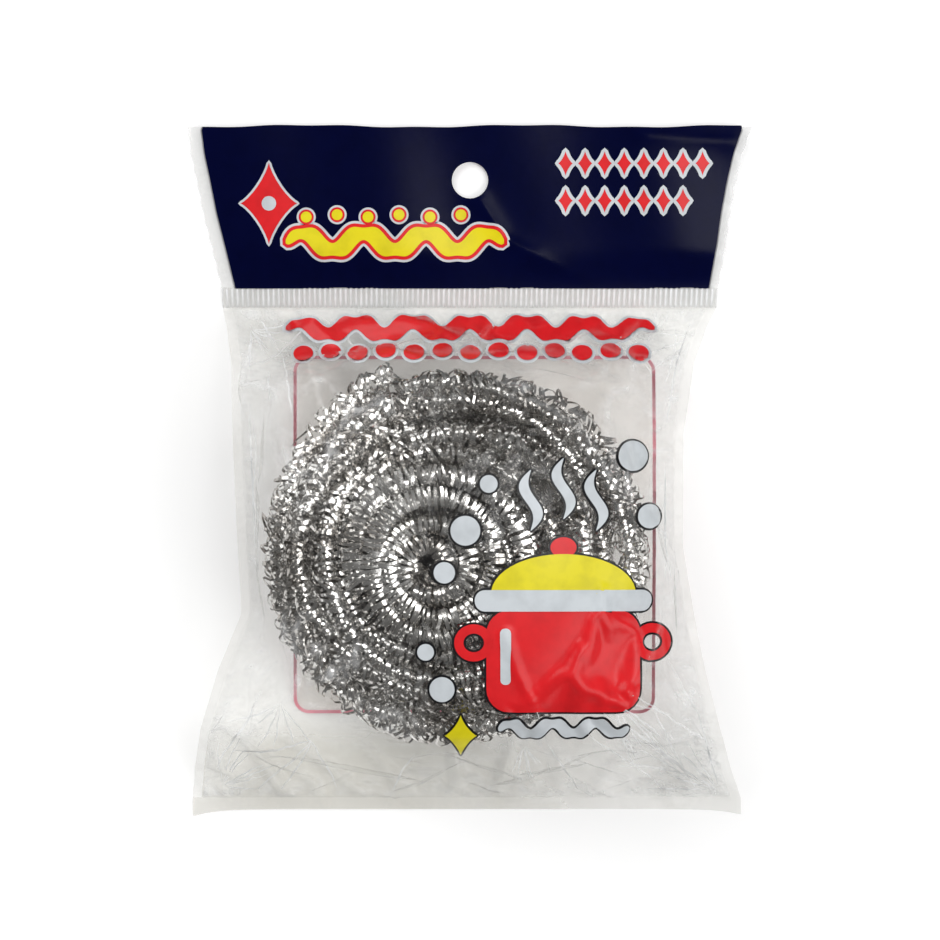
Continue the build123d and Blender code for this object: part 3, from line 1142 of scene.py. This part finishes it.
def steam(x, y_low, y_high, thickness):
    """A rising wisp that sways and thins out at both ends."""
    y = np.linspace(y_low, y_high, 40)
    share = (y - y_low) / (y_high - y_low)
    middle = x + 1.5 * np.sin(2 * math.pi * share)
    half = thickness / 2 * np.clip(1 - (2 * share - 1) ** 2, 0.02, 1) ** 0.8
    right = np.stack([middle + half, y], 1)
    left = np.stack([middle - half, y], 1)[::-1]
    return np.concatenate([right, left])


def cooking_pot():
    """The shapes of a steaming clean pot with bubbles, by ink, each with its holes."""
    dome = np.linspace(0, math.pi, 26)
    lid = np.stack([POT_X + 15.5 * np.cos(dome), -26.5 + 8.5 * np.sin(dome)], 1)
    bubbles = [
        (-5.5, -22, 4.6), (-1, -13, 6.4), (38.5, -10, 5.2), (4, -3, 3.8), (35, 3, 6.6),
        (-6, -47, 5.4), (-9.5, -39, 3.6),
    ]
    return {
        "red": [
            [rounded_box(POT_X, -41, 33, 22, 5.0)],
            ring(0.8, -37, 8.4, 8.0, 2.0),
            ring(39.2, -37, 8.4, 8.0, 2.0),
            [oval(POT_X, -16.6, 5.6, 4.4)],
        ],
        "yellow": [
            [even_outline(lid, 1.5)],
            [sparkle(-2, -57, 7, 9)],
        ],
        "white": [[rounded_box(POT_X, -28, 38, 4.6, 2.2)], [wave_band(6, 34, -55.5, 3.6, 1.0, 3)]]
        + [[rounded_box(7.6, -40, 2.2, 12, 1.0)]]
        + [[steam(x, y, y + 13, 2.6)] for x, y in ((13, -13), (20, -10.5), (27, -13))]
        + [[oval(x, y, size, size)] for x, y, size in bubbles],
    }


def lines_on(shapes_by_ink):
    """The black line round every shape of a picture and inside every hole in it."""
    around = []
    for shapes in shapes_by_ink.values():
        for outline, *holes in shapes:
            around.append([grown(outline, 0.45), grown(outline, -0.1)])
            around += [[grown(hole, 0.1), grown(hole, -0.45)] for hole in holes]
    return around


def make_pocket_print(front, back):
    inks = {ink: ink_material(f"{ink}_ink") for ink in ("white", "yellow", "red")}
    black = ink_material("black_ink")
    front_tree = film_tree(front)
    row = [wave_band(*POCKET_WAVE)] + oval_row(*POCKET_DOTS)
    rims = [[grown(shape, 0.6)] for shape in row]
    printed("row_white", rims, front_tree, inks["white"], "pocket")
    printed("row_red", [[shape] for shape in row], front_tree, inks["red"], "pocket")
    picture = cooking_pot()
    printed("picture_lines", lines_on(picture), front_tree, black, "pocket")
    for ink, shapes in picture.items():
        printed(f"picture_{ink}", shapes, front_tree, inks[ink], "pocket")
    # The white lines on the fold crests are partly whitened film and partly painted highlight.
    strips = [[fold_strip(*ends, width)] for *ends, _, width in fold_table()]
    printed("fold_lines", strips, front_tree, film_material("fold_white_and_highlight"), "pocket")
    outer = rounded_box(*FRAME_MIDDLE, *FRAME_SIZE, FRAME_CORNER)
    inner_size = [side - 2 * FRAME_LINE for side in FRAME_SIZE]
    inner = rounded_box(*FRAME_MIDDLE, *inner_size, FRAME_CORNER - FRAME_LINE)
    back_tree = film_tree(back)
    faded_red = ink_material("faded_red_ink")
    printed("frame_line", [[outer, inner]], back_tree, faded_red, "pocket")
    printed("frame_tint", [[inner]], back_tree, film_material("frame_tint"), "pocket")
    return inks


def make_header_print(header, inks):
    tree = film_tree(header)
    star = sparkle(*STAR_MIDDLE, *STAR_SIZE)
    wave = wave_band(*HEADER_WAVE)
    dots = oval_row(*HEADER_DOTS)
    gems = []
    for y, count in GEM_ROWS:
        gems += [sparkle(GEM_START + GEM_STEP * index, y, *GEM_SIZE) for index in range(count)]
    back = [grown(star, 0.5), grown(wave, 1.3)] + [grown(dot, 0.9) for dot in dots]
    back += [grown(gem, 0.75) for gem in gems]
    printed("header_white", [[shape] for shape in back], tree, inks["white"], "header")
    red = [star, grown(wave, 0.75)] + [grown(dot, 0.45) for dot in dots] + gems
    printed("header_red", [[shape] for shape in red], tree, inks["red"], "header")
    yellow = [[shape] for shape in [wave] + dots]
    printed("header_yellow", yellow, tree, inks["yellow"], "header")
    bubble = [oval(*STAR_MIDDLE, 3.2, 3.2)]
    printed("header_bubble", [bubble], tree, inks["white"], "header")


make_scourer()
front_film, back_film = make_pocket(*settled_film())
header_film = make_header()
make_header_print(header_film, make_pocket_print(front_film, back_film))


# Floor, light and camera


def floor_material():
    """A pale floor that shows white, keeps its shadows and is whiter far from the bag."""
    material, node, _ = new_material("floor")
    paint = node("BsdfDiffuse", Color=(0.9, 0.9, 0.9, 1))
    rays = [node("LightPath", out=f"Is {ray} Ray") for ray in ("Camera", "Glossy", "Transmission")]
    seen = node("Math", rays[0], rays[1], operation="MAXIMUM")
    seen = node("Math", seen, rays[2], operation="MAXIMUM")
    away = node("VectorMath", node("TexCoord", out="Object"), out="Value", operation="LENGTH")
    far = node("MapRange", away, From_Min=GLOW_GROWS, From_Max=GLOW_FULL, To_Min=NEAR_GLOW)
    glow = node("Emission", Strength=node("Math", seen, far, operation="MULTIPLY"))
    node("OutputMaterial", node("AddShader", paint, glow))
    return material


def make_floor():
    half = FLOOR_HALF_SIDE
    corners = [(-half, -half, 0), (half, -half, 0), (half, half, 0), (-half, half, 0)]
    floor = mesh_object("floor", corners, [(0, 1, 2, 3)], floor_material())
    floor.location.z = -FLOOR_DEPTH


def make_lamp(name, place, size, power):
    """A square soft lamp that points at the scourer."""
    data = bpy.data.lights.new(name, "AREA")
    data.size = size
    data.energy = power
    lamp = add_object(name, data)
    lamp.location = place
    lamp.rotation_mode = "QUATERNION"
    lamp.rotation_quaternion = (HEART - Vector(place)).to_track_quat("-Z", "Y")


def make_world():
    world = bpy.data.worlds.new("studio")
    world.use_nodes = True
    background = world.node_tree.nodes["Background"]
    background.inputs["Color"].default_value = (1.0, 0.995, 0.985, 1)
    background.inputs["Strength"].default_value = WORLD_STRENGTH
    bpy.context.scene.world = world


def make_camera():
    data = bpy.data.cameras.new("camera")
    data.sensor_width = 36.0
    data.lens = data.sensor_width * CAMERA_HEIGHT / PHOTO_WIDTH
    data.clip_end = 100
    camera = add_object("camera", data)
    camera.location = (0, 0, CAMERA_HEIGHT)
    bpy.context.scene.camera = camera


make_floor()
make_world()
for lamp_name, (place, size, power) in LAMPS.items():
    make_lamp(lamp_name, place, size, power)
make_camera()

bpy.context.scene.view_settings.view_transform = "Standard"
